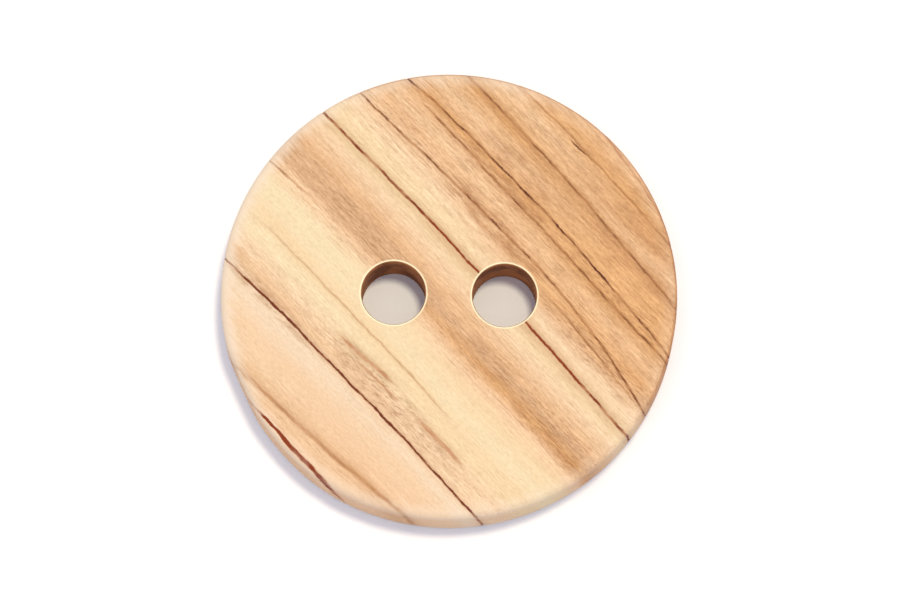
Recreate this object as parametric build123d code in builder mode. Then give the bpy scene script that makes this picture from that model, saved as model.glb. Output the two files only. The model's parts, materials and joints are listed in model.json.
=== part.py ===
"""A round sew-on button with two thread holes, made in one piece from a flat slice of olive wood.

The blank is a plain disc. Its two outer corners are sanded over all the way round. The two thread
holes are drilled straight through, side by side about the centre, and their mouths are eased on
both faces so that they don't fray the thread.

Frame: the origin is the centre of the back face, the one that lies against the cloth. +Z points out
of the front face, and the two holes stand on the X axis.
"""

from build123d import *
import os

# Driving dimensions, in millimetres.
BUTTON_DIAMETER = 20.0  # a 32 ligne button
BUTTON_THICKNESS = 2.5
RIM_ROUNDING = 0.3  # radius of the sanded outer corners, front and back
HOLE_DIAMETER = 2.8
HOLE_SPACING = 4.86  # from one hole's centre to the other's
HOLE_EASING = 0.12  # radius of the eased mouths, front and back


def make_button_disc():
    """The whole button: a disc with rounded corners and two eased thread holes."""
    with BuildPart() as button_disc:
        with BuildSketch(Plane.XY):
            Circle(BUTTON_DIAMETER / 2)
        extrude(amount=BUTTON_THICKNESS)
        outer_corners = button_disc.edges().filter_by(GeomType.CIRCLE)
        fillet(outer_corners, radius=RIM_ROUNDING)

        # The last faces made are the two drilled walls, and their edges are the four hole mouths.
        with GridLocations(HOLE_SPACING, 0, 2, 1):
            Hole(radius=HOLE_DIAMETER / 2)
        hole_mouths = button_disc.edges(Select.LAST).filter_by(GeomType.CIRCLE)
        fillet(hole_mouths, radius=HOLE_EASING)

    button_disc.part.label = "button_disc"
    return button_disc.part


os.makedirs("parts", exist_ok=True)
button = make_button_disc()
export_step(button, "parts/button_disc.step")
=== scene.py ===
"""A round sew-on button of olive wood: its turned disc, its wood, and the studio it lies in.

The button lies on its back with its front face up. The wood is one solid pattern, worked out in the
grain's own directions: along the fibres, across them on the face, and down into the thickness. The
same growth lines are sunk into the mesh and coloured by the material, so the two always agree.
"""

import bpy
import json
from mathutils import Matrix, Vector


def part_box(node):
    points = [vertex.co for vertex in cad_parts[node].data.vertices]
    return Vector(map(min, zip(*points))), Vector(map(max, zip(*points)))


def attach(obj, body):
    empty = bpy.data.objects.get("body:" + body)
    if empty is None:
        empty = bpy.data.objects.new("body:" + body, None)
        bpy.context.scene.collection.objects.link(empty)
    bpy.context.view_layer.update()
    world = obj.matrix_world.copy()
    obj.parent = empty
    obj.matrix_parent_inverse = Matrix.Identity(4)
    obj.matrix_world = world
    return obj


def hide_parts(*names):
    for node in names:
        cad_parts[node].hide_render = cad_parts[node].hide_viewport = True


bl_info = {
    "name": "Olive Wood Button",
    "version": (1, 0, 0),
    "blender": (4, 5, 0),
    "location": "3D View > Sidebar > Button",
    "description": "Makes a two-hole sew-on button of olive wood, and a small studio for it",
    "category": "Add Mesh",
}

import json
import math
from typing import NamedTuple

import bmesh
import bpy
import numpy as np
from mathutils import Vector

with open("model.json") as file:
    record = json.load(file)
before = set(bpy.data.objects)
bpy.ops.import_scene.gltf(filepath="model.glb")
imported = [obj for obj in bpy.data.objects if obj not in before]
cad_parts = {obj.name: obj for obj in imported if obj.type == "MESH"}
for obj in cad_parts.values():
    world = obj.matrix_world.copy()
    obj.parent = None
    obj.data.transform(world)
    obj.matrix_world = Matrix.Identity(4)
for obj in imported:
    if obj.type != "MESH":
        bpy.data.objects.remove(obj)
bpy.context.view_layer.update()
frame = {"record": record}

MM = 0.001
NODE = "button_disc"
LOW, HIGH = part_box(NODE)
HOLE_MOUNTS = [mount for mount in frame["record"]["mounts"] if mount["kind"] == "bore"]
HOLE_RADIUS = HOLE_MOUNTS[0]["dims"]["r_mm"] * MM
HOLE_WALL = HOLE_MOUNTS[0]["dims"]["length_mm"] * MM
HOLE_SPACING = abs(HOLE_MOUNTS[1]["pos_m"][0] - HOLE_MOUNTS[0]["pos_m"][0])

# How finely the disc is cut up, so that its edges are round and its growth lines can be sunk.
RIM_STEPS = 720
HOLE_STEPS = 144
WALL_CUTS = 14
ROUNDING_STEPS = 9
EASING_STEPS = 4
CELL_ACROSS_GRAIN = 0.06 * MM
CELLS_TO_HOLE = 5

# How near two places count as one, how near an edge counts as lying on a circle, and how nearly
# upright a face's normal is on the flat front and back.
SAME_PLACE = 1e-7
ON_CIRCLE = 1e-6
UPRIGHT = 0.9999

# Where hand sanding has flattened the rim a little: the direction round from +X, how far in the rim
# goes, and how far round the dent reaches. DENT_CORE is half of what is pushed in whole.
DENTS = (
    (math.radians(215), 0.09 * MM, 4.5 * MM),
    (math.radians(204), 0.07 * MM, 1.4 * MM),
)
DENT_CORE = math.radians(2.0)

# The grain's directions. Growth rings lean outwards as they go down through the thickness.
GRAIN_ANGLE = math.radians(-46)
ALONG_GRAIN = Vector((math.cos(GRAIN_ANGLE), math.sin(GRAIN_ANGLE), 0))
ACROSS_GRAIN = Vector((-math.sin(GRAIN_ANGLE), math.cos(GRAIN_ANGLE), 0))
RING_LEAN = 0.12

# How the grain wanders: the height of each wave in millimetres, and its radians in a millimetre
# along and across.
WAVES = ((0.016, 0.9, 0.7), (0.011, 2.7, 1.9), (0.007, 6.3, 3.1))

# The light on the front face and on the mouths of the holes, as a share of full white, and what the
# face's finish mirrors of the lamp. Colours are given as they look in that light, so each has its
# share of it taken out, and none comes out darker than DARKEST.
FACE_LIGHT = 1.61
# The mouths' colour is divided by this smaller light, so it comes out brighter: a painted
# highlight.
MOUTH_LIGHT = 1.2
FACE_SHEEN = 0.024
DARKEST = 0.003


class GrowthLine(NamedTuple):
    """One growth line, drawn on the front face in millimetres along and across the grain."""

    across: float  # where it crosses the middle of the button
    slope: float
    bow: float
    sweep: float
    start: float  # where along the grain it fades in
    end: float
    width: float  # from its middle to where its dark core ends
    dark: float  # 0 is no line at all, 1 is the full line colour
    red: float  # 0 is brown, 1 is red-brown
    above: float  # how far a soft brown shade reaches on the upper right
    below: float  # the same on the lower left
    shade: float  # how strong that shade is
    depth: float  # how deep the line is sunk, in millimetres


# From the upper right rim down to the lower left one.
GROWTH_LINES = (
    # In the heartwood.
    GrowthLine(9.85, -0.10, -0.020, 0.0, -2.4, 5.4, 0.06, 0.45, 0.8, 0.10, 0.15, 0.4, 0.010),
    GrowthLine(8.78, -0.008, -0.006, 0.0, -6.4, 7.0, 0.06, 0.45, 0.1, 0.12, 0.20, 0.4, 0.008),
    GrowthLine(8.74, 0.07, 0.0, 0.0, -2.1, 1.3, 0.055, 0.78, 0.1, 0.10, 0.12, 0.4, 0.012),
    GrowthLine(7.27, -0.035, -0.004, 0.0, -8.5, 9.0, 0.07, 0.62, 0.2, 0.22, 0.40, 0.7, 0.012),
    GrowthLine(5.58, -0.008, -0.005, 0.0, -11.0, 11.0, 0.062, 0.84, 0.2, 0.16, 0.26, 0.6, 0.016),
    GrowthLine(4.98, -0.008, -0.0005, 0.0, -8.0, 11.0, 0.07, 0.66, 0.2, 0.15, 0.25, 0.6, 0.010),
    GrowthLine(3.68, 0.011, -0.0078, -0.0005, -11.0, 12.0, 0.07, 0.74, 0.3, 0.12, 0.25, 0.6, 0.018),
    GrowthLine(3.15, 0.0, -0.0060, 0.0, 2.0, 10.0, 0.06, 0.55, 0.2, 0.15, 0.20, 0.5, 0.008),
    # The long line through the right hole, and its red-brown middle.
    GrowthLine(1.63, -0.005, -0.0020, 0.0, -12.0, 12.0, 0.08, 0.95, 0.45, 0.42, 0.58, 0.95, 0.028),
    GrowthLine(1.63, -0.005, -0.0020, 0.0, -4.6, 8.6, 0.075, 1.30, 1.0, 0.48, 0.68, 1.25, 0.020),
    # Faint lines in the sapwood, then its red streaks.
    GrowthLine(-1.02, 0.07, 0.0, 0.0, -12.0, -6.8, 0.07, 0.55, 0.0, 0.10, 0.12, 0.4, 0.010),
    GrowthLine(-3.70, 0.0, -0.0022, 0.0, -9.0, 5.0, 0.05, 0.36, 0.5, 0.14, 0.18, 0.5, 0.006),
    GrowthLine(-4.60, 0.08, 0.0, 0.0, -2.4, 1.9, 0.10, 0.55, 1.0, 0.40, 0.40, 1.1, 0.008),
    GrowthLine(-4.95, 0.04, 0.0, 0.0, -1.0, 2.6, 0.07, 0.42, 0.9, 0.20, 0.30, 0.8, 0.008),
    GrowthLine(-4.85, 0.02, 0.0, 0.0, 2.6, 6.4, 0.12, 0.55, 0.9, 0.34, 0.38, 1.0, 0.008),
    # The long dark line at the lower left, the soft one beyond it, and the red one by the rim.
    GrowthLine(-5.86, 0.016, -0.0022, 0.0, -12.0, 12.0, 0.07, 1.15, 0.3, 0.28, 0.26, 0.7, 0.030),
    GrowthLine(-8.75, 0.085, 0.004, 0.0, -5.5, 8.0, 0.11, 0.44, 0.1, 0.34, 0.24, 0.85, 0.008),
    GrowthLine(-9.68, 0.0, 0.006, 0.0, -3.4, 3.9, 0.08, 1.40, 0.8, 0.05, 0.05, 0.2, 0.020),
    GrowthLine(-9.67, 0.0, 0.004, 0.0, -1.7, 3.9, 0.14, 1.50, 1.0, 0.05, 0.05, 0.2, 0.024),
)
DEEPEST_LINE = max(line.depth for line in GROWTH_LINES)

# In millimetres: how long a line's end is at most, how wide a line is where it fades out, and how
# far from a hole's wall the sunk lines start and reach their full depth.
LONGEST_TAPER = 2.2
THINNEST_LINE = 0.004
SUNK_FROM_HOLE = (0.15, 0.5)

# As shares: how much of a line's length each end takes, how much of its width is fully dark, and
# the part of the deepest line's depth below which a point of the mesh isn't sunk at all.
TAPER_SHARE = 0.3
DARK_SHARE = 0.35
LEAST_SUNK = 0.01


class Patch(NamedTuple):
    """A soft-edged patch of browner, flecked wood, in millimetres along and across the grain."""

    across: float
    along: float
    half_across: float
    half_along: float
    shade: float  # how brown it is
    flecks: float  # how thickly it is flecked


PATCHES = (
    Patch(7.1, 1.5, 0.5, 6.0, 0.20, 0.3),
    Patch(6.2, -1.6, 0.6, 3.8, 1.00, 0.3),
    Patch(5.15, -2.0, 0.5, 3.8, 1.30, 0.4),
    Patch(5.1, 4.0, 0.6, 6.0, 0.05, 0.8),
    Patch(3.50, -1.1, 0.55, 4.3, 1.60, 0.6),
    Patch(2.9, 6.5, 0.8, 5.0, 0.50, 1.0),
    Patch(-0.8, 7.5, 0.8, 3.5, 0.35, 0.8),
    Patch(-1.1, 7.0, 0.7, 2.2, 0.70, 0.8),
    Patch(-1.4, 9.0, 0.4, 1.0, 1.00, 0.7),
    Patch(-0.7, 3.6, 0.7, 2.0, 0.70, 0.5),
    Patch(-0.9, -4.0, 0.9, 5.0, 0.20, 0.7),
    Patch(-5.1, 1.5, 0.8, 5.5, 0.60, 1.0),
    Patch(-6.0, -5.8, 0.45, 5.5, 1.30, 0.5),
    Patch(-8.5, 4.5, 0.5, 3.5, 0.45, 0.2),
)

# The wood's ground colour across the face, at its two ends: millimetres across the grain, and a
# named colour. The first list is the end at the upper left, the second the one at the lower right.
GROUND_AT_START = (
    (-10.5, "honey"), (-8.8, "fawn"), (-8.2, "peach"), (-7.4, "peach"), (-6.7, "blush"),
    (-6.2, "blush"), (-5.6, "fawn"), (-5.1, "peach"), (-4.3, "pale"), (-3.6, "cream"),
    (-3.0, "pale"), (-2.3, "pale"), (-1.5, "honey"), (-1.15, "smoke"), (-0.4, "smoke"),
    (0.0, "sand"), (0.4, "fawn"), (0.9, "peach"), (1.3, "cream"), (2.3, "cream"),
    (2.9, "peach"), (3.4, "fawn"), (4.0, "sand"), (4.4, "fawn"), (4.9, "sand"),
    (5.4, "tan"), (5.9, "sand"), (6.3, "fawn"), (7.2, "tan"), (8.2, "fawn"),
    (9.0, "amber"), (10.5, "amber"),
)
GROUND_AT_END = (
    (-10.5, "honey"), (-8.9, "honey"), (-8.4, "sand"), (-7.9, "honey"), (-6.8, "peach"),
    (-6.3, "blush"), (-5.8, "peach"), (-4.9, "peach"), (-4.4, "cream"), (-3.8, "cream"),
    (-3.2, "pale"), (-2.4, "cream"), (-1.7, "honey"), (-1.2, "tan"), (-0.7, "smoke"),
    (-0.3, "sand"), (0.1, "fawn"), (0.6, "peach"), (1.0, "cream"), (2.2, "peach"),
    (2.7, "sand"), (3.3, "amber"), (4.2, "sand"), (4.9, "tan"), (5.3, "amber"),
    (6.2, "amber"), (6.9, "umber"), (7.5, "sand"), (8.0, "umber"), (8.9, "tan"),
    (9.6, "sand"), (10.5, "sand"),
)

# How strongly the fibres show across the face, from 0 to 1: weakly in the sapwood, strongly in the
# heartwood at the upper right and in the bands.
FIGURE = (
    (-10.5, 0.6), (-8.6, 0.5), (-7.4, 0.2), (-6.3, 0.3), (-5.2, 0.8), (-4.3, 0.4), (-3.4, 0.2),
    (-2.2, 0.3), (-1.6, 0.9), (-0.4, 1.0), (0.5, 0.6), (1.5, 0.4), (2.4, 0.7), (3.2, 1.0),
    (10.5, 1.0),
)


# What the wood's colour is multiplied by: beside a growth line, in a dark and in a light fibre, in
# a dark and in a silver-grey fleck (also the painted highlight on a growth line's lower edge), and
# on the oiled outer corner.
SHADED = (0.76, 0.66, 0.58)
DARKER = (0.6, 0.5, 0.4, 1.0)
LIGHTER = (1.36, 1.44, 1.52, 1.0)
FLECKED = (0.50, 0.38, 0.31)
SILVERED = (1.08, 1.12, 1.16)
OILED = (0.78, 0.60, 0.44)

# How strongly the streaks, the threads and the specks shade the wood. The specks have a share of
# their own in plain wood and one more where the fibres show.
STREAK_TONE = 0.75
THREAD_TONE = 1.1
SPECK_TONE = 0.3
FIGURED_SPECK_TONE = 0.45

# How strongly each of these covers the wood under it: the soft brown shade, the dark flecks, the
# silver-grey flecks, the painted highlight on a growth line's lower edge, its dark core, and the
# mouths, freshly cut and with a painted highlight.
SHADE_COVER = 0.8
DARK_FLECK_COVER = 0.65
LIGHT_FLECK_COVER = 0.9
LINE_EDGE_HIGHLIGHT_COVER = 0.6
LINE_COVER = 1.3
FRESH_AND_HIGHLIGHT_COVER = 0.9

# On the turned surfaces, in millimetres: how far out from a hole's wall its burnt colour fades,
# how wide its pale mouth fades (freshly cut wood with a painted highlight), and how far below a
# face the pale outer corner (wear and a painted sheen) starts and is full.
WALL_FADE = (0.01, 0.05)
MOUTH_FADE = 0.06
CORNER_FADE = (0.6, 0.2)

# The scratches that the lathe and the drill leave run level, so they change quickly only upwards:
# their waves in a millimetre sideways and upwards.
SCRATCHES_SIDEWAYS = 0.7
SCRATCHES_UP = 11.0

# The sanded, thinly oiled surface: its roughness, the height of its fibres, and its sheen.
PLAIN_ROUGHNESS = 0.55
BUMP_HEIGHT = 0.02 * MM
BUMP_STRENGTH = 0.5
SPECULAR = 0.2

# The studio: the floor, the white all around, the lamp (its place round to the right of the front,
# up from the floor and away from the button), where on the front face the camera aims, and how near
# and how far it sees. Lengths are in metres, except that the sensor's width is in millimetres.
FLOOR_SIZE = 0.5
FLOOR_COLOUR = (0.755, 0.74, 0.76, 1.0)
FLOOR_ROUGHNESS = 0.9
FLOOR_SPECULAR = 0.1
SKY_COLOUR = (0.93, 0.965, 1.10, 1.0)
LAMP_AZIMUTH = math.radians(138)
LAMP_ELEVATION = math.radians(80)
LAMP_DISTANCE = 0.4
LAMP_SIZE = 0.06
LAMP_COLOUR = (1.0, 0.935, 0.685)
CAMERA_AIM = (0.05 * MM, -0.27 * MM)
SENSOR_WIDTH = 36.0
NEAREST_SEEN = 0.01
FARTHEST_SEEN = 10.0


def colour_property(name, description, red, green, blue):
    """A colour that the user picks as it should look on the finished button."""
    return bpy.props.FloatVectorProperty(
        name=name,
        description=description,
        subtype="COLOR_GAMMA",
        size=3,
        min=0.0,
        max=1.0,
        default=(red / 255, green / 255, blue / 255),
    )


def length_property(name, description, default):
    """A length in metres, shown in the scene's own unit."""
    return bpy.props.FloatProperty(
        name=name, description=description, default=default, min=0.0, unit="LENGTH", precision=5
    )


class ButtonSizes(bpy.types.PropertyGroup):
    """The button's own dimensions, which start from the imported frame's."""

    diameter: length_property("Diameter", "Across the whole button", HIGH.x - LOW.x)
    thickness: length_property("Thickness", "From the back face to the front", HIGH.z - LOW.z)
    rim_rounding: length_property("Rim rounding", "Radius of the sanded outer corners", 0.3 * MM)
    hole_radius: length_property("Hole radius", "Radius of each thread hole", HOLE_RADIUS)
    hole_spacing: length_property("Hole spacing", "Between the holes' centres", HOLE_SPACING)
    hole_easing: length_property(
        "Hole easing", "Radius of the holes' eased mouths", (HIGH.z - LOW.z - HOLE_WALL) / 2
    )


class WoodColours(bpy.types.PropertyGroup):
    """The colours of the olive wood, as they look on the finished button."""

    pale: colour_property("Pale", "The lightest sapwood", 253, 227, 185)
    cream: colour_property("Cream", "Light sapwood", 252, 220, 175)
    blush: colour_property("Blush", "Bleached, pinkish sapwood at the left rim", 252, 222, 189)
    peach: colour_property("Peach", "Pink light wood", 251, 213, 173)
    honey: colour_property("Honey", "Warm light wood", 250, 206, 164)
    fawn: colour_property("Fawn", "Light wood that turns brown", 242, 198, 154)
    sand: colour_property("Sand", "Light heartwood", 238, 189, 143)
    amber: colour_property("Amber", "Broad heartwood", 234, 178, 124)
    tan: colour_property("Tan", "Darker heartwood", 225, 168, 113)
    umber: colour_property("Umber", "The brownest heartwood", 218, 161, 111)
    smoke: colour_property("Smoke", "The soft brown band by the middle", 226, 179, 136)
    faint_brown: colour_property("Faint line", "A brown line where it is faint", 186, 124, 74)
    faint_red: colour_property("Faint red line", "A red-brown line where it is faint", 204, 124, 84)
    line_brown: colour_property("Brown line", "A brown line where it is dark", 100, 58, 30)
    line_red: colour_property("Red line", "A red-brown line where it is dark", 150, 72, 40)
    # The pale mouth colour below is partly freshly cut wood and partly a painted highlight on the
    # eased mouths.
    fresh_cut_and_highlight: colour_property("Fresh edge", "Freshly cut wood at the holes' mouths", 255, 240, 200)
    # The pale edge colour below is partly wear and partly a painted sheen on the outer corners.
    worn_and_sheen: colour_property("Worn edge", "Pale wood on the rubbed outer corners", 253, 230, 204)
    burnish: colour_property("Burnish", "Where the drill has burnished the hole", 214, 138, 84)
    scorch: colour_property("Scorch", "Where the drill has scorched the hole", 142, 80, 43)


class StudioSettings(bpy.types.PropertyGroup):
    """The camera and lights that show the button."""

    azimuth: bpy.props.FloatProperty(
        name="Azimuth",
        description="How far the camera stands round to the right of the front",
        subtype="ANGLE",
        default=math.radians(1.3),
    )
    elevation: bpy.props.FloatProperty(
        name="Elevation",
        description="How high the camera stands over the floor",
        subtype="ANGLE",
        default=math.radians(77.3),
    )
    distance: length_property("Distance", "From the camera to the front face", 240 * MM)
    lens: bpy.props.FloatProperty(
        name="Lens",
        description="Focal length of the camera, in millimetres",
        unit="CAMERA",
        default=219.4,
    )
    key_power: bpy.props.FloatProperty(
        name="Key light",
        description="Power of the soft lamp overhead",
        unit="POWER",
        default=0.97,
    )
    ambient: bpy.props.FloatProperty(
        name="Ambient", description="Strength of the white studio all around", default=1.12
    )


# ---------------------------------------------------------------------------------------------
# The wood's pattern, which the mesh and the material share


class Signal:
    """A number or colour in a shader. Arithmetic on it adds the nodes that work it out."""

    def __init__(self, tree, socket):
        self.tree = tree
        self.socket = socket

    def node(self, kind, settings, inputs, output=0):
        """Adds a node, sets it up, feeds its sockets, and gives one of its outputs."""
        made = self.tree.nodes.new(kind)
        for name, value in settings.items():
            if name == "stops":
                set_stops(made.color_ramp, value)
            else:
                setattr(made, name, value)
        for key, value in inputs.items():
            if isinstance(value, Signal):
                self.tree.links.new(value.socket, made.inputs[key])
            else:
                made.inputs[key].default_value = value
        return Signal(self.tree, made.outputs[output])

    def math(self, operation, first, second=0.0):
        return self.node("ShaderNodeMath", {"operation": operation}, {0: first, 1: second})

    def __add__(self, other):
        return self.math("ADD", self, other)

    def __radd__(self, other):
        return self.math("ADD", other, self)

    def __sub__(self, other):
        return self.math("SUBTRACT", self, other)

    def __rsub__(self, other):
        return self.math("SUBTRACT", other, self)

    def __mul__(self, other):
        return self.math("MULTIPLY", self, other)

    def __rmul__(self, other):
        return self.math("MULTIPLY", other, self)

    def __abs__(self):
        return self.math("ABSOLUTE", self)


def set_stops(ramp, stops):
    """Gives a colour ramp these stops, each a place from 0 to 1 and a linear colour."""
    for place, colour in stops[1:-1]:
        ramp.elements.new(place).color = (*colour, 1.0)
    for element, (place, colour) in ((ramp.elements[0], stops[0]), (ramp.elements[-1], stops[-1])):
        element.position = place
        element.color = (*colour, 1.0)


def sine(value):
    """The sine of an array's numbers or of a shader's value."""
    return value.math("SINE", value) if isinstance(value, Signal) else np.sin(value)


def root(value):
    """The square root of an array's numbers or of a shader's value."""
    return value.math("SQRT", value) if isinstance(value, Signal) else np.sqrt(value)


def higher(first, second):
    """The larger of two arrays' numbers or of two shader values."""
    if isinstance(first, Signal):
        return first.math("MAXIMUM", first, second)
    return np.maximum(first, second)


def smooth_step(value, low, high):
    """Climbs softly from 0 at low to 1 at high, for an array or for a shader's value."""
    if isinstance(value, Signal):
        steps = {"Value": value, "From Min": low, "From Max": high}
        return value.node("ShaderNodeMapRange", {"interpolation_type": "SMOOTHSTEP"}, steps)
    part = np.clip((value - low) / (high - low), 0.0, 1.0)
    return part * part * (3 - 2 * part)


def grain_directions(x, y, depth):
    """How far along and across the grain a place is, in millimetres, with its slow wander."""
    along = x * math.cos(GRAIN_ANGLE) + y * math.sin(GRAIN_ANGLE)
    across = y * math.cos(GRAIN_ANGLE) - x * math.sin(GRAIN_ANGLE) - RING_LEAN * depth
    for height, forward, sideways in WAVES:
        across = across + height * sine(forward * along + sideways * across)
    return along, across


def from_hole(x, y, sizes):
    """How far a place is from the nearer hole's axis, in millimetres."""
    aside = abs(x) - sizes.hole_spacing / 2 / MM
    return root(aside * aside + y * y)


def line_core(line, along, across):
    """How much of a line's dark core is at a place, how far it is aside, and if it is shown."""
    centre = ((line.sweep * along + line.bow) * along + line.slope) * along + line.across
    aside = across - centre
    taper = min(TAPER_SHARE * (line.end - line.start), LONGEST_TAPER)
    shown = smooth_step(along, line.start, line.start + taper)
    shown = shown * (1 - smooth_step(along, line.end - taper, line.end))
    width = shown * line.width + THINNEST_LINE
    core = 1 - smooth_step(abs(aside), width * DARK_SHARE, width)
    return core * shown, aside, shown


# ---------------------------------------------------------------------------------------------
# The disc


def deselect_everything():
    """Leaves nothing selected, so that an operator acts only on what is added next."""
    if bpy.context.object is not None and bpy.context.object.mode != "OBJECT":
        bpy.ops.object.mode_set(mode="OBJECT")
    bpy.ops.object.select_all(action="DESELECT")


def select_in_edit_mode(piece, kind, wanted):
    """Selects the edges or faces (kind is EDGE or FACE) that wanted() picks, in edit mode."""
    bpy.ops.mesh.select_mode(type=kind)
    bpy.ops.mesh.select_all(action="DESELECT")
    mesh = bmesh.from_edit_mesh(piece.data)
    for element in mesh.edges if kind == "EDGE" else mesh.faces:
        if wanted(element):
            element.select_set(True)
    bmesh.update_edit_mesh(piece.data)


def turn_blank(sizes):
    """A plain disc that stands on the back face's plane."""
    deselect_everything()
    bpy.ops.mesh.primitive_cylinder_add(
        vertices=RIM_STEPS,
        radius=sizes.diameter / 2,
        depth=sizes.thickness,
        location=(0, 0, sizes.thickness / 2),
        end_fill_type="NGON",
    )
    blank = bpy.context.object
    bpy.ops.object.transform_apply(location=True, rotation=True, scale=True)
    return blank


def drill_hole(piece, sizes, side):
    """Drills one thread hole right through; side is -1 for the left one and 1 for the right."""
    deselect_everything()
    bpy.ops.mesh.primitive_cylinder_add(
        vertices=HOLE_STEPS,
        radius=sizes.hole_radius,
        depth=sizes.thickness * 2,
        location=(side * sizes.hole_spacing / 2, 0, sizes.thickness / 2),
        rotation=(0, 0, GRAIN_ANGLE),
    )
    drill = bpy.context.object
    bpy.context.view_layer.objects.active = piece
    cut = piece.modifiers.new("thread hole", "BOOLEAN")
    cut.operation = "DIFFERENCE"
    cut.solver = "EXACT"
    cut.object = drill
    bpy.ops.object.modifier_apply(modifier=cut.name)
    bpy.data.objects.remove(drill)


def from_axis(point, side, sizes):
    """How far a point is from the button's axis (side 0) or from a hole's axis."""
    return math.hypot(point.x - side * sizes.hole_spacing / 2, point.y)


def is_corner(edge, side, radius, sizes):
    """True for an edge that lies on a level circle of that radius about an axis."""
    first, second = (vertex.co for vertex in edge.verts)
    level = abs(first.z - second.z) < SAME_PLACE
    away = [abs(from_axis(point, side, sizes) - radius) for point in (first, second)]
    return level and max(away) < ON_CIRCLE


def round_rim(piece, sizes):
    """Sands the outer corners over, front and back."""
    select_in_edit_mode(piece, "EDGE", lambda e: is_corner(e, 0, sizes.diameter / 2, sizes))
    bpy.ops.mesh.bevel(offset=sizes.rim_rounding, segments=ROUNDING_STEPS, profile=0.5)


def ease_hole(piece, sizes, side):
    """Eases the mouths of one hole, front and back."""
    select_in_edit_mode(piece, "EDGE", lambda e: is_corner(e, side, sizes.hole_radius, sizes))
    bpy.ops.mesh.bevel(offset=sizes.hole_easing, segments=EASING_STEPS, profile=0.5)


def cut_walls(piece, sizes):
    """Cuts the upright faces of the rim and of the holes into rows."""
    tall = sizes.thickness / 2

    def is_upright(edge):
        first, second = (vertex.co for vertex in edge.verts)
        return abs(first.z - second.z) > tall and (first.xy - second.xy).length < ON_CIRCLE

    select_in_edit_mode(piece, "EDGE", is_upright)
    bpy.ops.mesh.subdivide(number_cuts=WALL_CUTS)


def cut_at(place, direction):
    """Cuts whatever is shown in edit mode with an upright plane, that far along a direction."""
    bpy.ops.mesh.select_all(action="SELECT")
    bpy.ops.mesh.bisect(plane_co=direction * place, plane_no=direction, threshold=SAME_PLACE)


def hole_along_grain(sizes):
    """How far along the grain each hole's centre is from the middle of the button."""
    return sizes.hole_spacing / 2 * ALONG_GRAIN.x


def show_only_flats(piece):
    """Hides all but the flat front and back in edit mode."""
    select_in_edit_mode(piece, "FACE", lambda f: abs(f.normal.z) < UPRIGHT)
    bpy.ops.mesh.hide(unselected=False)


def part_flats_at_holes(piece, sizes):
    """Parts the flat front and back at the middle of each hole, so that no face surrounds one."""
    show_only_flats(piece)
    for side in (-1, 1):
        cut_at(side * hole_along_grain(sizes), ALONG_GRAIN)
    bpy.ops.mesh.reveal(select=False)


def cut_flats(piece, sizes):
    """Cuts the flat front and back into narrow cells that run with the grain."""
    show_only_flats(piece)
    cell_along_grain = hole_along_grain(sizes) / CELLS_TO_HOLE
    for direction, cell in ((ALONG_GRAIN, cell_along_grain), (ACROSS_GRAIN, CELL_ACROSS_GRAIN)):
        reach = int(sizes.diameter / 2 / cell)
        for number in range(-reach, reach + 1):
            cut_at(number * cell, direction)
    bpy.ops.mesh.reveal(select=False)


def dent_rim(piece, sizes, direction, inward, reach):
    """Sands the rim in a little on one side, fading out smoothly round it."""

    def is_middle(face):
        centre = face.calc_center_median()
        turn = math.remainder(math.atan2(centre.y, centre.x) - direction, 2 * math.pi)
        return centre.xy.length > sizes.diameter / 2 - sizes.rim_rounding and abs(turn) < DENT_CORE

    select_in_edit_mode(piece, "FACE", is_middle)
    bpy.ops.transform.translate(
        value=(-inward * math.cos(direction), -inward * math.sin(direction), 0),
        use_proportional_edit=True,
        proportional_edit_falloff="SMOOTH",
        proportional_size=reach,
    )


def sink_growth_lines(piece, sizes):
    """Sinks the growth lines into every side of the piece, as sanding leaves them."""
    points = np.empty(len(piece.data.vertices) * 3)
    piece.data.vertices.foreach_get("co", points)
    x, y, z = points.reshape(-1, 3).T / MM
    along, across = grain_directions(x, y, HIGH.z / MM - z)
    sunk = np.zeros(len(along))
    for line in GROWTH_LINES:
        core, _, _ = line_core(line, along, across)
        sunk = np.maximum(sunk, core * line.depth / DEEPEST_LINE)
    starts, full = (sizes.hole_radius / MM + away for away in SUNK_FROM_HOLE)
    sunk = sunk * smooth_step(from_hole(x, y, sizes), starts, full)
    lines = piece.vertex_groups.new(name="growth lines")
    for index in np.flatnonzero(sunk > LEAST_SUNK):
        lines.add([int(index)], float(sunk[index]), "REPLACE")
    sink = piece.modifiers.new("sink growth lines", "DISPLACE")
    sink.vertex_group = lines.name
    sink.mid_level = 0.0
    sink.strength = -DEEPEST_LINE * MM
    bpy.ops.object.modifier_apply(modifier=sink.name)
    piece.vertex_groups.clear()


def make_disc(sizes):
    """The whole button as one closed mesh."""
    piece = turn_blank(sizes)
    piece.name = "olive_wood_button"
    bpy.ops.object.mode_set(mode="EDIT")
    round_rim(piece, sizes)
    part_flats_at_holes(piece, sizes)
    for side in (-1, 1):
        drill_hole(piece, sizes, side)
    bpy.ops.object.mode_set(mode="EDIT")
    bpy.ops.mesh.select_all(action="SELECT")
    bpy.ops.mesh.remove_doubles(threshold=SAME_PLACE)
    for side in (-1, 1):
        ease_hole(piece, sizes, side)
    cut_walls(piece, sizes)
    cut_flats(piece, sizes)
    for direction, inward, reach in DENTS:
        dent_rim(piece, sizes, direction, inward, reach)
    bpy.ops.object.mode_set(mode="OBJECT")
    sink_growth_lines(piece, sizes)
    piece.select_set(True)
    bpy.ops.object.shade_smooth()
    return piece


# ---------------------------------------------------------------------------------------------
# The wood


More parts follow.
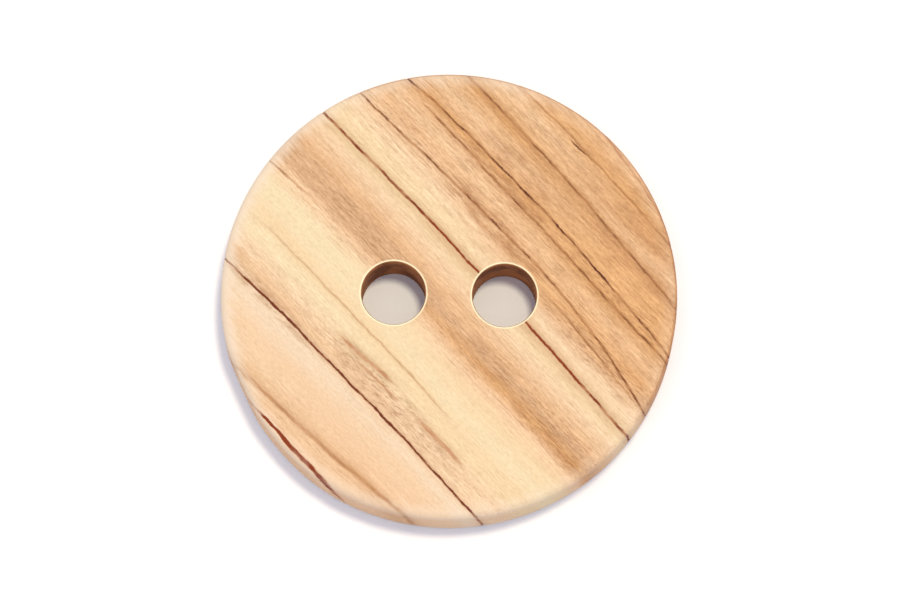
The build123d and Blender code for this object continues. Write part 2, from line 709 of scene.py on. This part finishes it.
class Grain(NamedTuple):
    """A place in the wood, in millimetres, as shader values."""

    along: Signal
    across: Signal
    depth: Signal

    def noise(self, along_scale, across_scale, detail=2.0, skew=0.0):
        """Soft noise about 0, with that many waves in a millimetre each way; skew slants it."""
        parts = {
            "X": (self.across - self.along * skew) * across_scale,
            "Y": self.along * along_scale,
            "Z": self.depth * across_scale,
        }
        place = self.along.node("ShaderNodeCombineXYZ", {}, parts)
        inputs = {"Vector": place, "Scale": 1.0, "Detail": detail, "Roughness": 0.55}
        return self.along.node("ShaderNodeTexNoise", {}, inputs) - 0.5

    def across_ramp(self, stops, aside):
        """What a list of stops across the grain holds here; aside shifts the place."""
        low, high = stops[0][0], stops[-1][0]
        spread = [((across - low) / (high - low), colour) for across, colour in stops]
        place = (self.across + aside - low) * (1 / (high - low))
        return self.along.node("ShaderNodeValToRGB", {"stops": spread}, {0: place})


class Disc(NamedTuple):
    """A place on the turned disc, as shader values."""

    x: Signal  # in millimetres, to the right
    past_rim: Signal  # in millimetres, out past the side wall; negative inside it
    near_face: Signal  # 1 by the front or back face, 0 halfway between them
    hole_wall: Signal  # 1 on a hole's wall, 0 outside its mouth
    hole_mouth: Signal  # 1 on a hole's eased mouth
    tooling: Signal  # level scratches left by the lathe and the drill, about 0


class Marks(NamedTuple):
    """What the growth lines and patches leave at a place, each from 0 up."""

    core: Signal
    red: Signal
    # The next one is a painted highlight on each growth line's lower edge.
    line_edge_highlight: Signal
    shade: Signal
    flecks: Signal


class Fibres(NamedTuple):
    """The fine texture of the wood, about 0, and how strongly it shows."""

    figure: Signal
    streaks: Signal
    threads: Signal
    specks: Signal
    dark_flecks: Signal
    light_flecks: Signal


def as_linear(colour, light=FACE_LIGHT):
    """A picked colour as the linear colour of a material that looks so in the studio's light."""
    return tuple(
        max((((part + 0.055) / 1.055) ** 2.4 - FACE_SHEEN) / light, DARKEST)
        for part in colour
    )


def paint(colour, light=FACE_LIGHT):
    """A picked colour, ready for a colour socket."""
    return (*as_linear(colour, light), 1.0)


def mix_colours(amount, first, second):
    """A blend of two colours, from the first at 0 to the second at 1."""
    inputs = {"Factor": amount, 6: first, 7: second}
    return amount.node("ShaderNodeMix", {"data_type": "RGBA"}, inputs, output=2)


def multiply_colours(first, second):
    """One colour seen through another."""
    return first.node("ShaderNodeVectorMath", {"operation": "MULTIPLY"}, {0: first, 1: second})


def find_places(tree, sizes):
    """Where a shaded point is in the wood and on the disc, from the piece's own coordinates."""
    start = Signal(tree, tree.nodes.new("ShaderNodeTexCoord").outputs["Object"])
    in_mm = start.node("ShaderNodeVectorMath", {"operation": "SCALE"}, {0: start, "Scale": 1 / MM})
    x, y, z = (
        in_mm.node("ShaderNodeSeparateXYZ", {}, {0: in_mm}, output=axis) for axis in range(3)
    )
    depth = HIGH.z / MM - z
    along, across = grain_directions(x, y, depth)

    middle = sizes.thickness / MM / 2
    hole, mouth = sizes.hole_radius / MM, (sizes.hole_radius + sizes.hole_easing) / MM
    away = from_hole(x, y, sizes)
    wall = 1 - smooth_step(away, *(hole + fade for fade in WALL_FADE))
    level = {"X": x * SCRATCHES_SIDEWAYS, "Y": y * SCRATCHES_SIDEWAYS, "Z": z * SCRATCHES_UP}
    scratched = x.node("ShaderNodeCombineXYZ", {}, level)
    inputs = {"Vector": scratched, "Scale": 1.0, "Detail": 3.0}
    tooling = x.node("ShaderNodeTexNoise", {}, inputs) - 0.5
    disc = Disc(
        x=x,
        past_rim=root(x * x + y * y) - sizes.diameter / 2 / MM,
        near_face=smooth_step(abs(z - middle), *(middle - fade for fade in CORNER_FADE)),
        hole_wall=wall,
        hole_mouth=(1 - smooth_step(away, mouth - MOUTH_FADE, mouth)) * (1 - wall),
        tooling=tooling,
    )
    return Grain(along, across, depth), disc


def mark_lines(grain):
    """The growth lines, broken up and frayed: dark cores, redness, painted lower-edge highlights,
    soft shade.
    """
    frayed = grain.across + grain.noise(0.6, 0.8) * 0.10
    frayed = frayed + grain.noise(3.5, 9.0, 4.0, skew=0.2) * 0.10
    broken = smooth_step(grain.noise(0.7, 1.2, 5.0), -0.14, 0.14) * 0.5 + 0.5
    core = red = line_edge_highlight = shade = grain.across * 0.0
    for line in GROWTH_LINES:
        dark, aside, shown = line_core(line, grain.along, frayed)
        dark = dark * line.dark
        beside = 1 - smooth_step(aside, 0.0, line.above)
        beside = beside * smooth_step(aside, -line.below, 0.0) * shown * line.shade
        # A painted highlight on the lower-left edge of each sunk line, where its groove would catch
        # the light.
        edge = 1 - smooth_step(abs(aside + 1.5 * line.width), 0.2 * line.width, 1.1 * line.width)
        line_edge_highlight = higher(line_edge_highlight, edge * shown * min(line.dark, 1.0) * LINE_EDGE_HIGHLIGHT_COVER)
        core = higher(core, dark)
        red = higher(red, dark * line.red)
        shade = higher(shade, beside)
    return core * broken, red, line_edge_highlight * broken, shade


def mark_patches(grain):
    """The patches of browner, flecked wood: how brown they are and how thickly flecked."""
    shade = flecks = grain.across * 0.0
    for patch in PATCHES:
        aside = (grain.across - patch.across) * (1 / patch.half_across)
        ahead = (grain.along - patch.along) * (1 / patch.half_along)
        inside = 1 - smooth_step(aside * aside + ahead * ahead, 0.15, 1.0)
        shade = higher(shade, inside * patch.shade)
        flecks = higher(flecks, inside * patch.flecks)
    return shade, flecks


def mark_wood(grain, disc):
    """The growth lines and patches together; the lines don't show on the scorched hole walls."""
    core, red, line_edge_highlight, beside = mark_lines(grain)
    patch_shade, flecks = mark_patches(grain)
    ragged = smooth_step(grain.noise(0.8, 2.6, 5.0, skew=0.15), -0.16, 0.14)
    shade = higher(beside, patch_shade * ragged)
    return Marks(core * (1 - disc.hole_wall), red, line_edge_highlight, shade, flecks)


def weave_fibres(grain, marks, aside):
    """The streaks, threads, specks and flecks of the wood."""
    figure = grain.across_ramp([(place, (strength,) * 3) for place, strength in FIGURE], aside)
    threads = grain.noise(0.9, 15.0, 3.0)
    pores = grain.noise(1.5, 15.0)
    straight = smooth_step(pores, 0.04, 0.20)
    slanted = smooth_step(grain.noise(2.2, 11.0, skew=0.22), 0.03, 0.22)
    scattered = smooth_step(grain.noise(0.5, 1.5), -0.08, 0.10)
    dark_flecks = higher(straight, slanted) * marks.flecks
    dark_flecks = higher(dark_flecks, straight * scattered * figure * 0.7)
    light_flecks = smooth_step(pores * -1.0, 0.06, 0.18) * figure
    return Fibres(
        figure=figure,
        streaks=grain.noise(0.3, 7.0, 4.0) * 0.8 + grain.noise(1.0, 3.0, 3.0, skew=0.15) * 0.6,
        threads=threads,
        specks=grain.noise(4.5, 17.0),
        dark_flecks=dark_flecks,
        light_flecks=light_flecks,
    )


def paint_ground(grain, colours, aside):
    """The wood's ground colour, in bands that change from one end of the grain to the other."""
    ends = []
    for ground in (GROUND_AT_START, GROUND_AT_END):
        stops = [(place, as_linear(getattr(colours, name))) for place, name in ground]
        ends.append(grain.across_ramp(stops, aside))
    return mix_colours(smooth_step(grain.along, -4.5, 4.5), *ends)


def paint_fibres(colour, fibres, marks):
    """Shades the ground, then lays the fibres, flecks and the lines' painted edge highlights over
    it.
    """
    colour = mix_colours(marks.shade * SHADE_COVER, colour, multiply_colours(colour, SHADED))
    tone = (fibres.streaks * STREAK_TONE + fibres.threads * THREAD_TONE) * fibres.figure
    tone = 0.5 + tone + fibres.specks * (SPECK_TONE + FIGURED_SPECK_TONE * fibres.figure)
    colour = multiply_colours(colour, mix_colours(tone, DARKER, LIGHTER))
    # The silver-grey flecks and the lines' painted edge highlights are lightened together.
    flecks_and_edge_highlight = higher(fibres.light_flecks * LIGHT_FLECK_COVER, marks.line_edge_highlight)
    colour = mix_colours(flecks_and_edge_highlight, colour, multiply_colours(colour, SILVERED))
    flecked = multiply_colours(colour, FLECKED)
    return mix_colours(fibres.dark_flecks * DARK_FLECK_COVER, colour, flecked)


def paint_lines(colour, marks, colours):
    """Lays the growth lines over the wood, tan where they are faint and dark where full."""
    redness = smooth_step(marks.red, 0.1, 0.6)
    faint = mix_colours(redness, paint(colours.faint_brown), paint(colours.faint_red))
    full = mix_colours(redness, paint(colours.line_brown), paint(colours.line_red))
    line = mix_colours(smooth_step(marks.core, 0.25, 0.85), faint, full)
    return mix_colours(marks.core * LINE_COVER, colour, line)


def paint_rim(colour, grain, disc, marks, fibres, colours):
    """Paints the outer corners pale (wear and a painted sheen), most on the left; darkens the oiled
    heartwood one.
    """
    # The pale outer corner is partly wear and partly a painted sheen; the strength below makes it
    # strongest on the left.
    rubbed_and_sheen = smooth_step(disc.past_rim + fibres.streaks, -0.8, -0.1) * disc.near_face
    strength = 0.8 - 0.35 * smooth_step(disc.x, -9.0, -4.0) - 0.3 * smooth_step(disc.x, 2.0, 8.0)
    colour = mix_colours(rubbed_and_sheen * (1 - marks.core) * strength, colour, paint(colours.worn_and_sheen))
    oiled = smooth_step(disc.past_rim, -0.14, -0.03) * smooth_step(grain.across, 1.0, 5.0)
    return mix_colours(oiled, colour, multiply_colours(colour, OILED))


def paint_holes(colour, grain, disc, fibres, colours):
    """Paints the mouths of the holes pale, as freshly cut wood and a painted highlight, and
    burnishes and scorches their walls.
    """
    # The pale mouths are freshly cut wood and a painted highlight.
    fresh_cut_and_highlight = paint(colours.fresh_cut_and_highlight, MOUTH_LIGHT)
    colour = mix_colours(disc.hole_mouth * FRESH_AND_HIGHLIGHT_COVER, colour, fresh_cut_and_highlight)
    scorched = smooth_step(grain.noise(0.5, 1.0, 3.0) + disc.tooling * 0.4, -0.12, 0.14)
    burnt = mix_colours(scorched, paint(colours.burnish), paint(colours.scorch))
    burnt = multiply_colours(burnt, mix_colours(0.5 + disc.tooling * 1.5, DARKER, LIGHTER))
    return mix_colours(disc.hole_wall * (0.95 + fibres.threads * 0.3), colour, burnt)


def paint_wood(piece, colours, sizes):
    """The solid olive-wood material: ground, bands, growth lines, fibres, edges pale from wear and
    a painted sheen, and pale mouths.
    """
    material = bpy.data.materials.new("olive_wood")
    material.use_nodes = True
    tree = material.node_tree
    tree.nodes.clear()
    grain, disc = find_places(tree, sizes)
    marks = mark_wood(grain, disc)
    aside = grain.noise(0.14, 0.45) * 0.30 + grain.noise(0.5, 3.0, 4.0) * 0.55
    fibres = weave_fibres(grain, marks, aside)

    colour = paint_ground(grain, colours, aside)
    colour = paint_fibres(colour, fibres, marks)
    colour = paint_lines(colour, marks, colours)
    colour = paint_rim(colour, grain, disc, marks, fibres, colours)
    colour = paint_holes(colour, grain, disc, fibres, colours)

    side_wall = smooth_step(disc.past_rim, -0.3, -0.1) * (1 - disc.near_face * 0.7)
    turned = higher(side_wall, disc.hole_wall)
    height = fibres.threads * 0.5 + fibres.specks * 0.4 - fibres.dark_flecks * 0.6
    height = height - marks.core * 0.8 + disc.tooling * turned * 1.2
    inputs = {"Strength": BUMP_STRENGTH, "Distance": BUMP_HEIGHT, "Height": height}
    bump = height.node("ShaderNodeBump", {}, inputs)
    rough = PLAIN_ROUGHNESS + fibres.threads * 0.2 + marks.core * 0.15
    rough = rough + disc.hole_wall * 0.15 + turned * 0.05
    inputs = {
        "Base Color": colour,
        "Roughness": rough,
        "Normal": bump,
        "Specular IOR Level": SPECULAR,
    }
    surface = colour.node("ShaderNodeBsdfPrincipled", {}, inputs)
    out = tree.nodes.new("ShaderNodeOutputMaterial")
    tree.links.new(surface.socket, out.inputs["Surface"])
    piece.data.materials.append(material)


# ---------------------------------------------------------------------------------------------
# The studio


def make_floor():
    """A plain pale floor that the lamp lights evenly; past it the white surroundings take over."""
    deselect_everything()
    bpy.ops.mesh.primitive_plane_add(size=FLOOR_SIZE, location=(0, 0, 0))
    floor = bpy.context.object
    floor.name = "floor"
    material = bpy.data.materials.new("plain_floor")
    material.use_nodes = True
    shader = material.node_tree.nodes["Principled BSDF"]
    shader.inputs["Base Color"].default_value = FLOOR_COLOUR
    shader.inputs["Roughness"].default_value = FLOOR_ROUGHNESS
    shader.inputs["Specular IOR Level"].default_value = FLOOR_SPECULAR
    floor.data.materials.append(material)


def stand_away(azimuth, elevation, distance):
    """From the middle of the button out to a place, round to the right of the front and up."""
    flat = distance * math.cos(elevation)
    up = distance * math.sin(elevation)
    return Vector((flat * math.sin(azimuth), -flat * math.cos(azimuth), up))


def make_lights(settings):
    """White surroundings, and one soft lamp high up at the back right."""
    world = bpy.data.worlds.new("studio")
    world.use_nodes = True
    background = world.node_tree.nodes["Background"]
    background.inputs["Color"].default_value = SKY_COLOUR
    background.inputs["Strength"].default_value = settings.ambient
    bpy.context.scene.world = world
    deselect_everything()
    place = stand_away(LAMP_AZIMUTH, LAMP_ELEVATION, LAMP_DISTANCE)
    bpy.ops.object.light_add(type="AREA", location=place)
    key = bpy.context.object
    key.name = "key_light"
    key.rotation_euler = place.to_track_quat("Z", "Y").to_euler()
    key.data.shape = "DISK"
    key.data.size = LAMP_SIZE
    key.data.energy = settings.key_power
    key.data.color = LAMP_COLOUR


def make_camera(settings, sizes):
    """A long lens that looks almost straight down on the front face."""
    aim = Vector((*CAMERA_AIM, sizes.thickness))
    back = stand_away(settings.azimuth, settings.elevation, settings.distance)
    deselect_everything()
    bpy.ops.object.camera_add(location=aim + back)
    camera = bpy.context.object
    camera.name = "studio_camera"
    camera.rotation_euler = back.to_track_quat("Z", "Y").to_euler()
    camera.data.lens = settings.lens
    camera.data.sensor_width = SENSOR_WIDTH
    camera.data.clip_start = NEAREST_SEEN
    camera.data.clip_end = FARTHEST_SEEN
    bpy.context.scene.camera = camera


# ---------------------------------------------------------------------------------------------
# Operators, panel and registration


class BUTTON_OT_make_disc(bpy.types.Operator):
    """Make the olive-wood button around its packed disc"""

    bl_idname = "button.make_disc"
    bl_label = "Make Wooden Button"
    bl_options = {"REGISTER", "UNDO"}

    def execute(self, context):
        sizes = context.scene.button_sizes
        piece = make_disc(sizes)
        paint_wood(piece, context.scene.wood_colours, sizes)
        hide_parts(NODE)
        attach(piece, "root")
        return {"FINISHED"}


class BUTTON_OT_set_stage(bpy.types.Operator):
    """Set up the pale floor, the soft lights and the camera"""

    bl_idname = "button.set_stage"
    bl_label = "Set Up Studio"
    bl_options = {"REGISTER", "UNDO"}

    def execute(self, context):
        settings = context.scene.studio_settings
        context.scene.view_settings.view_transform = "Standard"
        make_floor()
        make_lights(settings)
        make_camera(settings, context.scene.button_sizes)
        return {"FINISHED"}


class BUTTON_PT_sidebar(bpy.types.Panel):
    """The button's sizes, colours and studio, and what makes each"""

    bl_idname = "BUTTON_PT_sidebar"
    bl_label = "Olive Wood Button"
    bl_space_type = "VIEW_3D"
    bl_region_type = "UI"
    bl_category = "Button"

    def draw(self, context):
        groups = (
            (context.scene.button_sizes, None),
            (context.scene.wood_colours, BUTTON_OT_make_disc),
            (context.scene.studio_settings, BUTTON_OT_set_stage),
        )
        for group, operator in groups:
            box = self.layout.box()
            for name in group.__annotations__:
                box.prop(group, name)
            if operator is not None:
                box.operator(operator.bl_idname)


CLASSES = (
    ButtonSizes,
    WoodColours,
    StudioSettings,
    BUTTON_OT_make_disc,
    BUTTON_OT_set_stage,
    BUTTON_PT_sidebar,
)


def register():
    """Registers the classes and hangs their settings on the scene."""
    for each in CLASSES:
        bpy.utils.register_class(each)
    bpy.types.Scene.button_sizes = bpy.props.PointerProperty(type=ButtonSizes)
    bpy.types.Scene.wood_colours = bpy.props.PointerProperty(type=WoodColours)
    bpy.types.Scene.studio_settings = bpy.props.PointerProperty(type=StudioSettings)


def unregister():
    """Takes the settings off the scene and unregisters the classes."""
    del bpy.types.Scene.studio_settings
    del bpy.types.Scene.wood_colours
    del bpy.types.Scene.button_sizes
    for each in reversed(CLASSES):
        bpy.utils.unregister_class(each)


def main():
    """Makes everything in order."""
    register()
    bpy.ops.button.make_disc()
    bpy.ops.button.set_stage()


if __name__ == "__main__":
    main()
